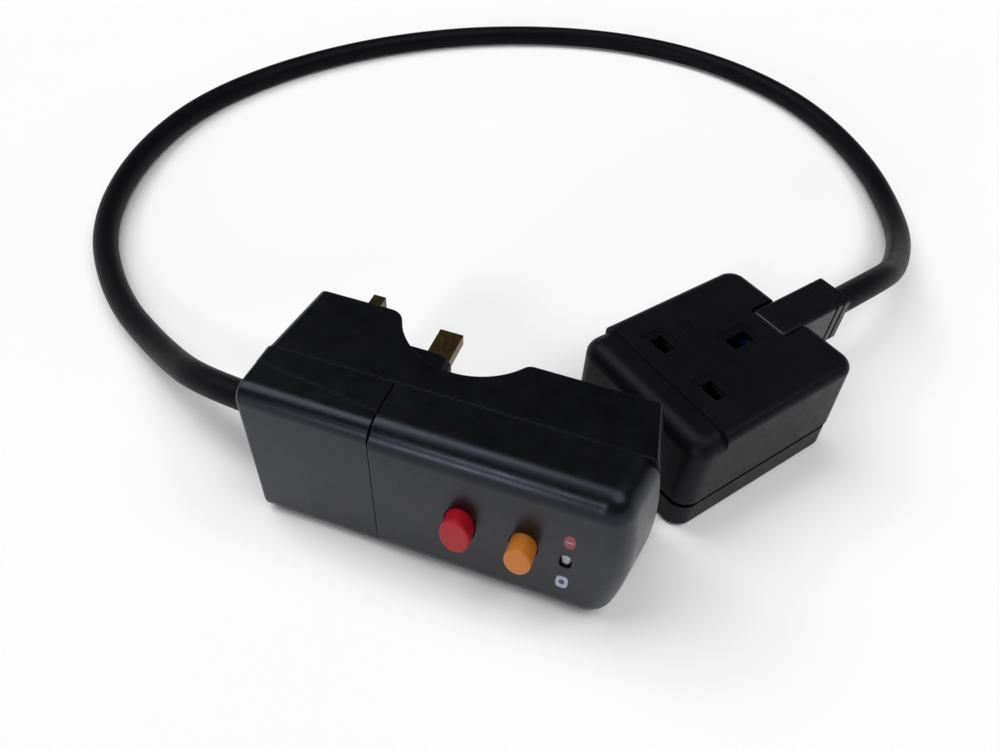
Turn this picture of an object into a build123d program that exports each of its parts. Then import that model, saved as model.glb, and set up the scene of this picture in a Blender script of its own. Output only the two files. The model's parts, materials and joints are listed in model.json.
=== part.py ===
from build123d import *
import math
import os

# RCD extension lead in millimetres: a plug lying on its side, a trailing socket and the flex between them.
# The plug's own axes are X along its length, Y from its front to its pins and Z across its width.
# The socket's own axes are X towards its flex, Y across its width and Z up, from between its live slots.

# Where the plug's left front corner and the socket's middle lie, and how far the plug is turned
plug_x = -94.57
plug_y = 28.74
plug_turn = -53.2
socket_x = 25.97
socket_y = -18.21

# Clearances, and how far a cut starts or ends past the face that it opens
fit = 0.05
running = 0.08
gap = 0.3
past = 1.0
root = 0.5

# Plug casing
plug_length = 108.4
plug_width = 54.5
end_bulge = 3.6
end_draft = 3.8
cover_depth = 18.2
pin_face_depth = 43.7
rear_depth = 37.0
left_draft = 2.3
split_x = 38.0
wall = 2.4
cover_step = 0.5
crease_left_y = 12.6
crease_right_y = 7.7
corner_radius = 3.0
front_radius = 7.0
wiring_front_radius = 5.0
wiring_left_radius = 1.5
skirt_left_radius = 2.0
cover_end_radius = 8.0
base_end_radius = 1.2
inner_end_radius = 0.6
joint_line_depth = 0.3
joint_line_width = 0.35
split_edge = 0.5
scallop_x = 50.5
scallop_y = 49.0
scallop_radius = 22.0
scallop_left_lip = 5.0
scallop_right_lip = 3.0
tongue_reach = 43.8
tongue_half_width = 14.5
tongue_radius = 5.0
tongue_root_x = 25.0
middle = plug_width / 2
beyond = 30.0

# Pins of a 13 A plug
pin_spacing = 22.23
live_x = 13.1
live_length = 17.7
earth_length = 22.7
live_size = (4.0, 6.35)
earth_size = (8.0, 4.0)
sleeve_length = 9.5
sleeve_wall = 0.5
pin_inner_y = 36.0
pin_chamfer = 0.8
earth_x = live_x + pin_spacing
line_z = middle - pin_spacing / 2
neutral_z = middle + pin_spacing / 2
earth_tail = (4.0, 4.0)

# Flex
flex_radius = 4.7
core_radius = 1.45
core_bend = 2.0
core_spread = 2.05
flex_floor_z = flex_radius + 0.2
sheath_inside_plug = 12.0
sheath_end_socket = 40.0
sheath_plug_run = 24.0
sheath_socket_run = 53.0
bend_share = 0.45
route = [
    (-100.1, 99.5, 10.0),
    (-105.2, 143.2, flex_floor_z),
    (-97.3, 189.8, flex_floor_z),
    (-69.2, 233.3, flex_floor_z),
    (-28.2, 265.3, flex_floor_z),
    (26.0, 279.6, flex_floor_z),
    (85.2, 278.9, flex_floor_z),
    (144.7, 261.4, flex_floor_z),
    (198.9, 225.8, flex_floor_z),
    (233.1, 177.2, flex_floor_z),
    (243.3, 119.3, flex_floor_z),
    (226.7, 61.7, flex_floor_z),
    (192.8, 15.2, 6.5),
    (152.2, -9.0, 18.0),
]

# Cord grip in the plug
grip_x = 8.0
grip_width = 5.6
grip_half_span = 12.5
grip_screw_offset = 9.0
grip_post_radius = 2.6
grip_front_y = 9.5
grip_back_y = 17.4
grip_edge = 1.0
saddle_half_span = 7.5
saddle_width = 3.0
saddle_y = cover_depth + 1.0
entry_clearance = 0.2

# Screws
screw_radius = 1.5
screw_hole_radius = 1.7
screw_head_radius = 2.8
screw_head_height = 2.0
cross_length = 3.2
cross_width = 0.8
cross_depth = 0.9
counterbore_radius = 3.0
counterbore_depth = 3.0
boss_radius = 4.2
cover_boss_radius = 3.3
screw_bite = 8.0
small_screw_radius = 1.2
small_head_radius = 2.2
small_head_height = 1.6
slot_width = 0.6
slot_depth = 0.6
wiring_screw_x = 24.2
rcd_screw_x = 72.5
rcd_screw_margin = 7.2
rcd_end_screw_x = 100.5
rcd_screw_places = [(rcd_screw_x, rcd_screw_margin), (rcd_screw_x, plug_width - rcd_screw_margin),
                    (rcd_end_screw_x, middle)]

# Terminals in the plug, beside the wiring cover's right wall
terminal_length = 6.0
terminal_clearance = 0.45
terminal_end_x = split_x - gap / 2 - wall - terminal_clearance
terminal_x = (terminal_end_x - terminal_length, terminal_end_x)
terminal_half_width = 3.2
terminal_front_y = 13.4
terminal_line_z = middle - 14.75
terminal_earth_z = middle + 6.25
terminal_neutral_z = middle + 14.75
terminal_hole_radius = 1.7
terminal_hole_end = 1.5
terminal_screw_radius = 1.2
terminal_head_radius = 2.0
terminal_head_height = 1.4
terminal_edge = 0.4
tip_clearance = 0.1

# Cores in the plug: where each one's straight start ends and the point that it passes
core_y = 17.2
core_end_x = terminal_x[0] + 4.0
core_lead_in_x = terminal_x[0] - 3.5
line_way = (15.0, (20.5, 17.6, middle - 12.25))
neutral_way = (14.5, (20.5, 18.6, middle + 13.05))
earth_way = (14.8, (21.0, 16.0, middle + 7.75))

# Circuit board
board_margin = 5.0
board_x = (terminal_x[0], 95.9)
board_z = (board_margin, plug_width - board_margin)
board_front_y = 20.4
board_thickness = 1.6
board_back_y = board_front_y + board_thickness
board_notch_radius = 4.7
board_post_margin = 9.0
board_post_x = (46.5, 93.5)
board_post_radius = 2.2
board_posts = [(board_post_x[1], board_post_margin), (board_post_x[1], plug_width - board_post_margin),
               (board_post_x[0], board_post_margin), (board_post_x[0], plug_width - board_post_margin)]
board_screw_places = board_posts[:3]
board_screw_radius = 0.9
board_head_radius = 1.9
board_head_height = 1.4
board_screw_bite = 2.6

# Fuse, 25.4 by 6.3, whose clips stand beside the tongue's wall
fuse_x = (11.4, 36.8)
fuse_radius = 3.15
fuse_body_radius = 2.9
fuse_cap_length = 5.6
fuse_cap_end = 0.5
fuse_y = 31.9
clip_thickness = 0.7
clip_back = 0.8
clip_lips_y = 28.0
clip_spans = [(11.2, 16.8), (31.4, 36.6)]
clip_tab_x = (32.4, 35.4)
clip_clearance = 0.35
fuse_z = middle - tongue_half_width + wall + clip_clearance + clip_thickness + fit + fuse_radius

# Neutral strap
strap_x = (11.1, 31.6)
strap_z = (middle + 7.25, middle + 11.25)
strap_thickness = 0.8

# Buttons: oval caps on the plug's middle line, with half their width and half their height
test_x = 63.4
test_half = (4.28, 7.35)
test_stand = 4.3
test_stem_radius = 1.5
test_stem_end_y = 12.2
test_travel = 2.0
reset_x = 81.3
reset_half = (3.74, 5.6)
reset_stand = 5.65
reset_stem_radius = 2.0
reset_stem_end_y = 10.9
reset_travel = 2.5
button_clearance = 0.3
button_flange = 0.9
button_edge = 0.7
flange_front_y = wall + 0.4
flange_back_y = flange_front_y + 1.0

# Switch frame and contact carriage
frame_x = (56.5, 95.9)
frame_half_height = 14.25
frame_plate_y = (9.6, 10.6)
frame_leg = 2.5
frame_hole_clearance = 0.2
guide_offset = 11.75
guide_radius = 1.1
carriage_half = (6.4, 13.65)
carriage_x = (reset_x - carriage_half[0], reset_x + carriage_half[0])
carriage_z = (middle - carriage_half[1], middle + carriage_half[1])
carriage_y = (11.2, 14.0)
carriage_edge = 1.0
carriage_slot_half = (1.6, 3.0)
bridge_thickness = 0.6
bridge_half_width = 2.0
pole_offset = 5.75
stud_spread = 4.6
stud_radius = 1.2
stud_height = 0.7
fixed_half_width = 1.6
contact_gap = reset_travel + 0.1

# Indicator: an oval window a little below the middle line, and the flag that slides behind it
window_x = 92.9
window_z = middle - 1.2
window_size = (3.4, 6.0)
lens_clearance = 0.25
lens_crown = 0.9
lens_flange = 1.0
lens_flange_thickness = 0.6
lens_front_y = 0.7
flag_x = (89.8, 95.4)
flag_z = (window_z - 6.25, window_z + 6.75)
flag_front_y = wall + lens_flange_thickness + 0.4
flag_y = (flag_front_y, flag_front_y + 0.8)
flag_leg_x = (92.0, 93.2)
flag_leg_z = (middle - 0.25, middle + 2.75)
flag_foot_x = (90.4, 94.6)
flag_foot_y = (10.9, 12.4)
flag_travel = 3.0

# Trip coil and plunger
coil_x = (43.5, 53.5)
coil_y = 13.5
coil_z = middle + 17.65
coil_radius = 5.2
coil_bore = 2.2
yoke_thickness = 1.0
yoke_half_width = 5.0
yoke_front_y = 8.2
plunger_radius = 1.8
plunger_edge = 0.5
collar_x = (62.0, 63.2)
collar_radius = 3.0
plunger_travel = 2.5
plunger_x = (coil_x[0] + plunger_travel - 0.5, 66.0)
yoke_hole_radius = 2.0

# Sensor ring
sensor_x = 87.0
sensor_bore = 4.1
sensor_outer = 7.8
sensor_depth = 7.4
core_ring = (4.9, 7.0)
core_ring_inset = 0.8
winding_span = 140.0
link_radius = 0.9
link_offset = 1.6
link_start_x = 76.5
link_rear_y = 31.6
link_bend = 2.0

# Small components on the board
resistor_x = (59.5, 66.0)
resistor_radius = 1.3
resistor_y = 17.2
resistor_z = middle - 18.25
resistor_edge = 0.5
lead_radius = 0.3
lead_reach = 1.8
lead_bend = 0.7
chip_box = ((45.0, 53.0), (18.6, board_front_y), (middle - 7.25, middle + 2.75))
capacitor_box = ((49.2, 55.2), (13.6, board_front_y), (middle - 19.25, middle - 16.25))
diode_box = ((45.5, 50.0), (18.4, board_front_y), (middle + 5.75, middle + 8.15))
component_edge = 0.4
test_leaf_x = (59.6, 68.0)
test_leaf_half_width = 1.75
test_leaf_thickness = 0.4
test_leaf_y = test_stem_end_y + test_travel + gap
test_stud_x = 67.0
test_stud_radius = 0.9
test_stud_y = 16.6

# Springs
spring_wire = 0.3
spring_pitch = 1.3
reset_spring_radius = 2.9
test_spring_radius = 2.6
carriage_spring_radius = 1.9
plunger_spring_radius = 2.6
shutter_spring_radius = 1.6

# Socket casing, whose rear face leans in towards the top
socket_front = -19.5
socket_rear = 50.4
socket_rear_top = 46.2
socket_half_width = 27.0
socket_height = 39.7
socket_split = 12.3
socket_corner = 6.0
socket_inner_corner = 3.5
socket_top_edge = 3.0
socket_wall = 2.3
socket_top = 3.0
socket_floor = 2.4
base_inset = 0.35
base_edge = 1.2
split_groove = 1.0
split_groove_height = 2.2
nose_end = -9.0
nose_drop = 0.8
nose_radius = 5.5
live_slot = (4.8, 6.9)
earth_slot = (8.8, 4.8)
slot_frame = 2.4
slot_frame_depth = 0.5
slot_frame_corner = 1.2
strip_x = (9.0, 14.2)
strip_half_width = 15.0
strip_depth = 0.3
strip_corner = 1.0

# Gland and its pocket
gland_y = 0.5
gland_half_width = 6.8
gland_inner = 35.0
gland_outer = 67.6
gland_bottom = 22.1
gland_edge = 1.3
gland_groove_places = (60.5, 64.0)
gland_groove_width = 1.1
gland_groove_depth = 0.6
pocket_wall = 1.6
pocket_mouth = 0.7
pocket_mouth_depth = 2.2
flex_z = 30.9

# Socket inside
screw_front_x = -13.2
screw_rear_x = 38.2
screw_side_y = 19.2
socket_screws = [(screw_front_x, -screw_side_y), (screw_front_x, screw_side_y),
                 (screw_rear_x, -screw_side_y), (screw_rear_x, screw_side_y)]
socket_boss_radius = 3.9
clip_bottom_z = 8.3
clip_plate = 0.7
clip_half_gap = 1.9
live_clip_top = 27.0
earth_clip_top = 29.0
live_clip_half = 3.0
earth_clip_half = 4.0
live_rest_half = 3.4
earth_rest_half = (4.4, 2.6)
terminal_rest_half = 2.5
rest_bottom_z = 2.0
socket_terminal = (6.0, 6.0, 7.0)
live_terminal_x = -7.5
earth_terminal_x = 32.0
socket_hole_z = 12.0
shutter_z = (30.5, 32.5)
shutter_x = (-3.3, 3.3)
shutter_half_width = 15.2
shutter_arm_half = 3.2
shutter_travel = 5.6
shutter_nose = pin_spacing - earth_size[0] / 2 + shutter_travel
shutter_ramp = (1.6, 5.6)
rail_gap = 0.3
rail_width = 1.8
rail_lip = 1.0
rail_lip_height = 1.2
rail_x = (-10.0, 4.5)
spring_rib_x = (-17.5, -15.6)
spring_rib_half = 4.0
spring_rib_drop = 1.5

# Cores in the socket: where each one's straight start ends, the point that it passes and its last turn
live_core_aside = 4.4
live_core_straight_x = 30.5
live_core_passing = (29.0, 14.0, 20.0)
live_core_turn_x = 4.0
earth_core_straight_x = 31.5
earth_core_passing = (30.0, 6.5, 22.0)
earth_core_turn_y = 9.5


def block(x, y, z):
    """Box between low and high corners."""
    centre = Pos((x[0] + x[1]) / 2, (y[0] + y[1]) / 2, (z[0] + z[1]) / 2)
    return centre * Box(x[1] - x[0], y[1] - y[0], z[1] - z[0])


def drawn(outline, direction):
    """Solid that a flat outline sweeps along a straight direction."""
    run = Vector(direction)
    return extrude(make_face(outline), amount=run.length, dir=run.normalized())


def rod(start, end, radius):
    """Round bar between two points."""
    a = Vector(start)
    b = Vector(end)
    return extrude(Plane(origin=a, z_dir=b - a) * Circle(radius), amount=(b - a).length)


def tube(points, bends, radius):
    """Round tube along straight runs joined by tangent arcs."""
    path = FilletPolyline(*points, radius=bends)
    return sweep(Plane(origin=path @ 0, z_dir=path % 0) * Circle(radius), path=path)


def coil_spring(start, direction, length, radius):
    """Open helical spring that reaches from its start to its seat."""
    seat = spring_wire + 0.05
    path = Helix(spring_pitch, length - 2 * seat, radius, center=Vector(start) + Vector(direction) * seat,
                 direction=direction)
    profile = Plane(origin=path @ 0, z_dir=path % 0) * Circle(spring_wire)
    return sweep(profile, path=path, is_frenet=True)


def slot_prism(centre_x, centre_z, size, y):
    """Slot with round ends along Z, through a wall that lies across Y."""
    plane = Plane(origin=(centre_x, y[0], centre_z), x_dir=(0, 0, 1), z_dir=(0, 1, 0))
    return extrude(plane * SlotOverall(size[1], size[0]), amount=y[1] - y[0])


def oval_prism(centre_x, half, y):
    """Oval bar along Y on the plug's middle line."""
    plane = Plane(origin=(centre_x, y[0], middle), x_dir=(1, 0, 0), z_dir=(0, 1, 0))
    return extrude(plane * Ellipse(half[0], half[1]), amount=y[1] - y[0])


def larger(half, by):
    """Half sizes of an oval, a little larger."""
    return (half[0] + by, half[1] + by)


def scallop_at(y, inset, side):
    """Point where the finger scallop meets a depth, on its left (-1) or right (+1) side."""
    rise = scallop_y - y
    return scallop_x + side * math.sqrt((scallop_radius + inset) ** 2 - rise ** 2)


def end_block(inset, lean, depth, end_radius):
    """Oblique prism whose right end is bulged and leans in as it leaves the parting line."""
    low = inset
    high = plug_width - inset
    far = -beyond
    right = plug_length - inset
    outline = Wire([
        Edge.make_line((far, cover_depth, low), (right, cover_depth, low)),
        Edge.make_three_point_arc((right, cover_depth, low), (right + end_bulge, cover_depth, middle),
                                  (right, cover_depth, high)),
        Edge.make_line((right, cover_depth, high), (far, cover_depth, high)),
        Edge.make_line((far, cover_depth, high), (far, cover_depth, low)),
    ])
    body = drawn(outline, (-lean, depth, 0))
    corners = body.edges().filter_by(lambda e: e.bounding_box().min.X > 0 and e.bounding_box().size.Z < 1)
    return fillet(corners, end_radius)


def base_body(inset, left_radius, lips, end_radius):
    """Rear moulding's outer shape, or its hollow when inset by the wall."""
    deep = pin_face_depth - inset
    rear = rear_depth - inset
    left_top = (scallop_at(deep, inset, -1), deep)
    right_top = (scallop_at(rear, inset, 1), rear)
    lowest = (scallop_x, scallop_y - scallop_radius - inset)
    far = plug_length + beyond
    profile = Wire([
        Edge.make_line((inset, cover_depth), (left_draft + inset, deep)),
        Edge.make_line((left_draft + inset, deep), left_top),
        Edge.make_three_point_arc(left_top, lowest, right_top),
        Edge.make_line(right_top, (far, rear)),
        Edge.make_line((far, rear), (far, cover_depth)),
        Edge.make_line((far, cover_depth), (inset, cover_depth)),
    ])
    body = Pos(0, 0, inset) * drawn(profile, (0, 0, plug_width - 2 * inset))
    for place, radius in ((left_top, lips[0]), (right_top, lips[1])):
        uprights = body.edges().filter_by(Axis.Z)
        corner = uprights.sort_by(lambda e: (e @ 0.5 - Vector(*place, middle)).length)[0]
        body = fillet(corner, radius)
    body = body & end_block(inset, end_draft, pin_face_depth - cover_depth, end_radius)
    left = body.edges().filter_by(lambda e: e.bounding_box().max.X < left_draft + inset + 1
                                  and e.bounding_box().size.Y > left_radius)
    body = fillet(left, left_radius)
    half = tongue_half_width - inset
    tongue = block((tongue_root_x, tongue_reach - inset), (board_front_y, deep),
                   (middle - half, middle + half))
    nose = tongue.edges().filter_by(Axis.Y).group_by(Axis.X)[-1]
    return body + fillet(nose, tongue_radius - inset)


def pin_places():
    """Where each pin stands along the plug and across it, with its size."""
    return [(live_x, line_z, live_size), (live_x, neutral_z, live_size), (earth_x, middle, earth_size)]


def case_screw_places():
    """Each cover screw's place, with the depth of the face that it enters from."""
    return [(wiring_screw_x, middle, pin_face_depth)] + [(x, z, rear_depth) for x, z in rcd_screw_places]


def joint_line():
    """Thin rebate round the rear moulding where the covers meet it."""
    outer = base_body(-fit, corner_radius, (scallop_left_lip, scallop_right_lip), base_end_radius)
    inset = joint_line_depth
    inner = base_body(inset, corner_radius - inset, (scallop_left_lip, scallop_right_lip), base_end_radius)
    span = block((-beyond, plug_length + beyond), (cover_depth - fit, cover_depth + joint_line_width),
                 (-beyond, plug_width + beyond))
    return (outer - inner) & span


def plug_base():
    outer = base_body(0, corner_radius, (scallop_left_lip, scallop_right_lip), base_end_radius)
    hollow = base_body(wall, inner_end_radius, (inner_end_radius, inner_end_radius), inner_end_radius)
    body = outer - hollow - joint_line()
    inner_y = pin_face_depth - wall
    for x, z, rear in case_screw_places():
        body += rod((x, cover_depth, z), (x, rear - root, z), boss_radius)
    for x, z in board_posts:
        body += rod((x, board_back_y, z), (x, rear_inner(x) + root, z), board_post_radius)
    for side in (-1, 1):
        z = middle + side * grip_screw_offset
        body += rod((grip_x, grip_back_y + gap, z), (grip_x, inner_y + root, z), grip_post_radius)
    body += block((grip_x - saddle_width / 2, grip_x + saddle_width / 2), (saddle_y, inner_y + root),
                  (middle - saddle_half_span, middle + saddle_half_span))
    for x, z, rear in case_screw_places():
        body -= rod((x, cover_depth - past, z), (x, rear + past, z), screw_hole_radius)
        body -= rod((x, rear - counterbore_depth, z), (x, rear + past, z), counterbore_radius)
    for side in (-1, 1):
        z = middle + side * grip_screw_offset
        body -= rod((grip_x, grip_back_y, z), (grip_x, grip_back_y + screw_bite, z), small_screw_radius)
    for x, z in board_screw_places:
        body -= rod((x, board_back_y, z), (x, board_back_y + board_screw_bite + gap, z), board_screw_radius)
    for x, z, size in pin_places():
        half = (size[0] / 2 + fit, size[1] / 2 + fit)
        body -= block((x - half[0], x + half[0]), (inner_y - past, pin_face_depth + past),
                      (z - half[1], z + half[1]))
    entry = rod((-beyond, cover_depth, middle), (sheath_inside_plug, cover_depth, middle),
                flex_radius + entry_clearance)
    return body - entry


def rear_inner(x):
    """Depth of the rear moulding's inner face at a place along the plug."""
    if x > scallop_at(rear_depth, 0, 1):
        return rear_depth - wall
    return scallop_y - math.sqrt((scallop_radius + wall) ** 2 - (x - scallop_x) ** 2)


def wiring_cover():
    right = split_x - gap / 2
    step = cover_step
    outer = block((0, right), (step, cover_depth), (step, plug_width - step))
    outer = fillet(outer.edges().filter_by(Axis.X).group_by(Axis.Y)[0], wiring_front_radius)
    rim = outer.faces().sort_by(Axis.X)[0].edges()
    outer = fillet(rim.filter_by(lambda e: e.bounding_box().min.Y < cover_depth - fit), wiring_left_radius)
    skirt_outline = Polyline((0, cover_depth), (0, crease_left_y), (right, crease_right_y),
                             (right, cover_depth), close=True)
    skirt = drawn(skirt_outline, (0, 0, plug_width))
    skirt = fillet(skirt.edges().filter_by(Axis.Y).group_by(Axis.X)[0], skirt_left_radius)
    body = outer + skirt
    body -= block((wall, right - wall), (wall + step, cover_depth + past), (wall, plug_width - wall))
    x = wiring_screw_x
    body += rod((x, wall + step - root, middle), (x, cover_depth, middle), cover_boss_radius)
    body -= rod((x, cover_depth - screw_bite, middle), (x, cover_depth + past, middle), screw_radius)
    entry = rod((-beyond, cover_depth, middle), (wall + past, cover_depth, middle),
                flex_radius + entry_clearance)
    return body - entry


def rcd_cover():
    left = split_x + gap / 2
    right = plug_length + beyond
    outer = block((left, right), (0, cover_depth), (0, plug_width))
    outer = outer & end_block(0, end_draft, -cover_depth, cover_end_radius)
    front = outer.edges().group_by(Axis.Y)[0]
    outer = fillet(front.filter_by(lambda e: e.bounding_box().max.X > left + 1), front_radius)
    rim = outer.faces().filter_by(Axis.X).sort_by(Axis.X)[0].edges()
    outer = fillet(rim.filter_by(lambda e: e.bounding_box().min.Y < cover_depth - fit), split_edge)
    hollow = block((left + wall, right), (wall, cover_depth + past), (wall, plug_width - wall))
    hollow = hollow & end_block(wall, end_draft, -cover_depth, cover_end_radius - wall)
    front = hollow.edges().group_by(Axis.Y)[0]
    hollow = fillet(front.filter_by(lambda e: e.bounding_box().max.X > left + wall + 1), front_radius - wall)
    body = outer - hollow
    for x, z in rcd_screw_places:
        body += rod((x, wall - root, z), (x, cover_depth, z), cover_boss_radius) & outer
        body -= rod((x, cover_depth - screw_bite, z), (x, cover_depth + past, z), screw_radius)
    through = (-past, wall + past)
    body -= oval_prism(test_x, larger(test_half, button_clearance), through)
    body -= oval_prism(reset_x, larger(reset_half, button_clearance), through)
    return body - slot_prism(window_x, window_z, window_size, through)


def pin(x, z, size, length, inner_y, waist):
    """Rectangular pin with a chamfered tip, waisted where an insulating sleeve covers it."""
    half = (size[0] / 2, size[1] / 2)
    end = pin_face_depth + length
    shaft = block((x - half[0], x + half[0]), (inner_y, end), (z - half[1], z + half[1]))
    shaft = chamfer(shaft.faces().sort_by(Axis.Y)[-1].edges(), pin_chamfer)
    if waist:
        sleeve = (pin_face_depth, pin_face_depth + sleeve_length)
        outer = block((x - size[0], x + size[0]), sleeve, (z - size[1], z + size[1]))
        inner = block((x - half[0] + sleeve_wall, x + half[0] - sleeve_wall), sleeve,
                      (z - half[1] + sleeve_wall, z + half[1] - sleeve_wall))
        shaft -= outer - inner
    return shaft


def line_pin():
    return pin(live_x, line_z, live_size, live_length, pin_inner_y, True)


def neutral_pin():
    return pin(live_x, neutral_z, live_size, live_length, pin_inner_y, True)


def earth_pin():
    tail = block((earth_x - earth_tail[0] / 2, earth_x + earth_tail[0] / 2), (board_back_y, pin_inner_y),
                 (middle - earth_tail[1] / 2, middle + earth_tail[1] / 2))
    return pin(earth_x, middle, earth_size, earth_length, pin_inner_y, False) + tail


def pin_sleeves():
    sleeves = []
    half = (live_size[0] / 2, live_size[1] / 2)
    span = (pin_face_depth, pin_face_depth + sleeve_length)
    for z in (line_z, neutral_z):
        outer = block((live_x - half[0], live_x + half[0]), span, (z - half[1], z + half[1]))
        inner = block((live_x - half[0] + sleeve_wall, live_x + half[0] - sleeve_wall), span,
                      (z - half[1] + sleeve_wall, z + half[1] - sleeve_wall))
        sleeves.append(outer - inner)
    return sleeves


def machine_screw(x, z, head_y, tip_y):
    """Cross-headed screw along Y, with its head to the rear."""
    screw = rod((x, tip_y, z), (x, head_y, z), screw_radius)
    screw += rod((x, head_y, z), (x, head_y + screw_head_height, z), screw_head_radius)
    top = head_y + screw_head_height
    for half_x, half_z in ((cross_length / 2, cross_width / 2), (cross_width / 2, cross_length / 2)):
        screw -= block((x - half_x, x + half_x), (top - cross_depth, top + past), (z - half_z, z + half_z))
    return screw


def slotted_screw(x, z, head_y, seat_y, tip_y, radii):
    """Small slotted screw along Y, with its head to the front."""
    screw = rod((x, head_y, z), (x, seat_y, z), radii[1])
    screw += rod((x, seat_y, z), (x, tip_y, z), radii[0])
    half = slot_width / 2
    return screw - block((x - radii[1] - past, x + radii[1] + past), (head_y - past, head_y + slot_depth),
                         (z - half, z + half))


def wiring_cover_screw():
    head_y = pin_face_depth - counterbore_depth
    return machine_screw(wiring_screw_x, middle, head_y, cover_depth - screw_bite + past)


def rcd_cover_screws():
    head_y = rear_depth - counterbore_depth
    return [machine_screw(x, z, head_y, cover_depth - screw_bite + past) for x, z in rcd_screw_places]


def plug_cord_grip():
    bar = block((grip_x - grip_width / 2, grip_x + grip_width / 2), (grip_front_y, grip_back_y),
                (middle - grip_half_span, middle + grip_half_span))
    bar = fillet(bar.edges().filter_by(Axis.X), grip_edge)
    bar -= rod((0, cover_depth, middle), (grip_x + grip_width, cover_depth, middle), flex_radius)
    radius = small_screw_radius + fit
    for side in (-1, 1):
        z = middle + side * grip_screw_offset
        bar -= rod((grip_x, grip_front_y - past, z), (grip_x, grip_back_y + past, z), radius)
    return bar


def plug_grip_screws():
    radii = (small_screw_radius, small_head_radius)
    head_y = grip_front_y - small_head_height
    tip_y = grip_back_y + screw_bite - past
    return [slotted_screw(grip_x, middle + side * grip_screw_offset, head_y, grip_front_y, tip_y, radii)
            for side in (-1, 1)]


def circuit_board():
    board = block(board_x, (board_front_y, board_back_y), board_z)
    for x, z in rcd_screw_places:
        board -= rod((x, board_front_y - past, z), (x, board_back_y + past, z), board_notch_radius)
    for x, z in board_screw_places:
        board -= rod((x, board_front_y - past, z), (x, board_back_y + past, z), board_screw_radius + fit)
    return board


def board_screws():
    radii = (board_screw_radius, board_head_radius)
    head_y = board_front_y - board_head_height
    tip_y = board_back_y + board_screw_bite
    return [slotted_screw(x, z, head_y, board_front_y, tip_y, radii) for x, z in board_screw_places]


def board_components():
    parts = [block(*chip_box), block(*capacitor_box), block(*diode_box)]
    return [fillet(part.edges().filter_by(Axis.Y), component_edge) for part in parts]


def test_resistor():
    left, right = resistor_x
    body = rod((left, resistor_y, resistor_z), (right, resistor_y, resistor_z), resistor_radius)
    body = fillet(body.edges(), resistor_edge)
    for x, side in ((resistor_x[0], -1), (resistor_x[1], 1)):
        end = x + side * lead_reach
        points = [(x - side * root, resistor_y, resistor_z), (end, resistor_y, resistor_z),
                  (end, board_front_y, resistor_z)]
        body += tube(points, lead_bend, lead_radius)
    return body


def fuse_body():
    inset = fuse_cap_end
    return rod((fuse_x[0] + inset, fuse_y, fuse_z), (fuse_x[1] - inset, fuse_y, fuse_z), fuse_body_radius)


def fuse_caps():
    caps = []
    for end, side in ((fuse_x[0], 1), (fuse_x[1], -1)):
        cap = rod((end, fuse_y, fuse_z), (end + side * fuse_cap_length, fuse_y, fuse_z), fuse_radius)
        bore = rod((end + side * fuse_cap_end, fuse_y, fuse_z),
                   (end + side * (fuse_cap_length + past), fuse_y, fuse_z), fuse_body_radius)
        caps.append(cap - bore)
    return caps


def fuse_clips():
    clips = []
    inner = fuse_radius + fit
    outer = inner + clip_thickness
    for span in clip_spans:
        clip = block(span, (pin_inner_y - clip_back, pin_inner_y), (fuse_z - outer, fuse_z + outer))
        for side in (-1, 1):
            near = fuse_z + side * inner
            far = fuse_z + side * outer
            clip += block(span, (clip_lips_y, pin_inner_y), (min(near, far), max(near, far)))
        clips.append(clip)
    clips[1] += block(clip_tab_x, (board_back_y, pin_inner_y), (fuse_z - outer, fuse_z - inner))
    return clips


def neutral_strap():
    flat = block(strap_x, (pin_inner_y - strap_thickness, pin_inner_y), strap_z)
    leg = block((strap_x[1] - strap_thickness, strap_x[1]), (board_back_y, pin_inner_y), strap_z)
    return flat + leg


def plug_terminals():
    blocks = []
    for z in (terminal_line_z, terminal_earth_z, terminal_neutral_z):
        span = (z - terminal_half_width, z + terminal_half_width)
        body = block(terminal_x, (terminal_front_y, board_front_y), span)
        body = chamfer(body.edges().filter_by(Axis.Y), terminal_edge)
        body -= rod((terminal_x[0] - past, core_y, z), (terminal_x[1] - terminal_hole_end, core_y, z),
                    terminal_hole_radius)
        centre = (terminal_x[0] + terminal_x[1]) / 2
        body -= rod((centre, terminal_front_y - past, z), (centre, core_y - terminal_hole_radius + root, z),
                    terminal_screw_radius)
        blocks.append(body)
    return blocks


def plug_terminal_screws():
    centre = (terminal_x[0] + terminal_x[1]) / 2
    radii = (terminal_screw_radius, terminal_head_radius)
    return [slotted_screw(centre, z, terminal_front_y - terminal_head_height, terminal_front_y,
                          core_y - terminal_hole_radius - tip_clearance, radii)
            for z in (terminal_line_z, terminal_earth_z, terminal_neutral_z)]


def test_button():
    return button(test_x, test_half, test_stand, (test_stem_radius, test_stem_end_y))


def reset_button():
    return button(reset_x, reset_half, reset_stand, (reset_stem_radius, reset_stem_end_y))


def button(x, half, stand, stem):
    """Oval push button: a cap with a rounded end, a flange that holds it in and a round stem."""
    cap = oval_prism(x, half, (-stand, flange_front_y))
    cap = fillet(cap.edges().group_by(Axis.Y)[0], button_edge)
    cap += oval_prism(x, larger(half, button_flange), (flange_front_y, flange_back_y))
    return cap + rod((x, flange_back_y, middle), (x, stem[1], middle), stem[0])


def test_spring():
    return coil_spring((test_x, flange_back_y, middle), (0, 1, 0), frame_plate_y[0] - flange_back_y,
                       test_spring_radius)


def reset_spring():
    return coil_spring((reset_x, flange_back_y, middle), (0, 1, 0), frame_plate_y[0] - flange_back_y,
                       reset_spring_radius)


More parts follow.
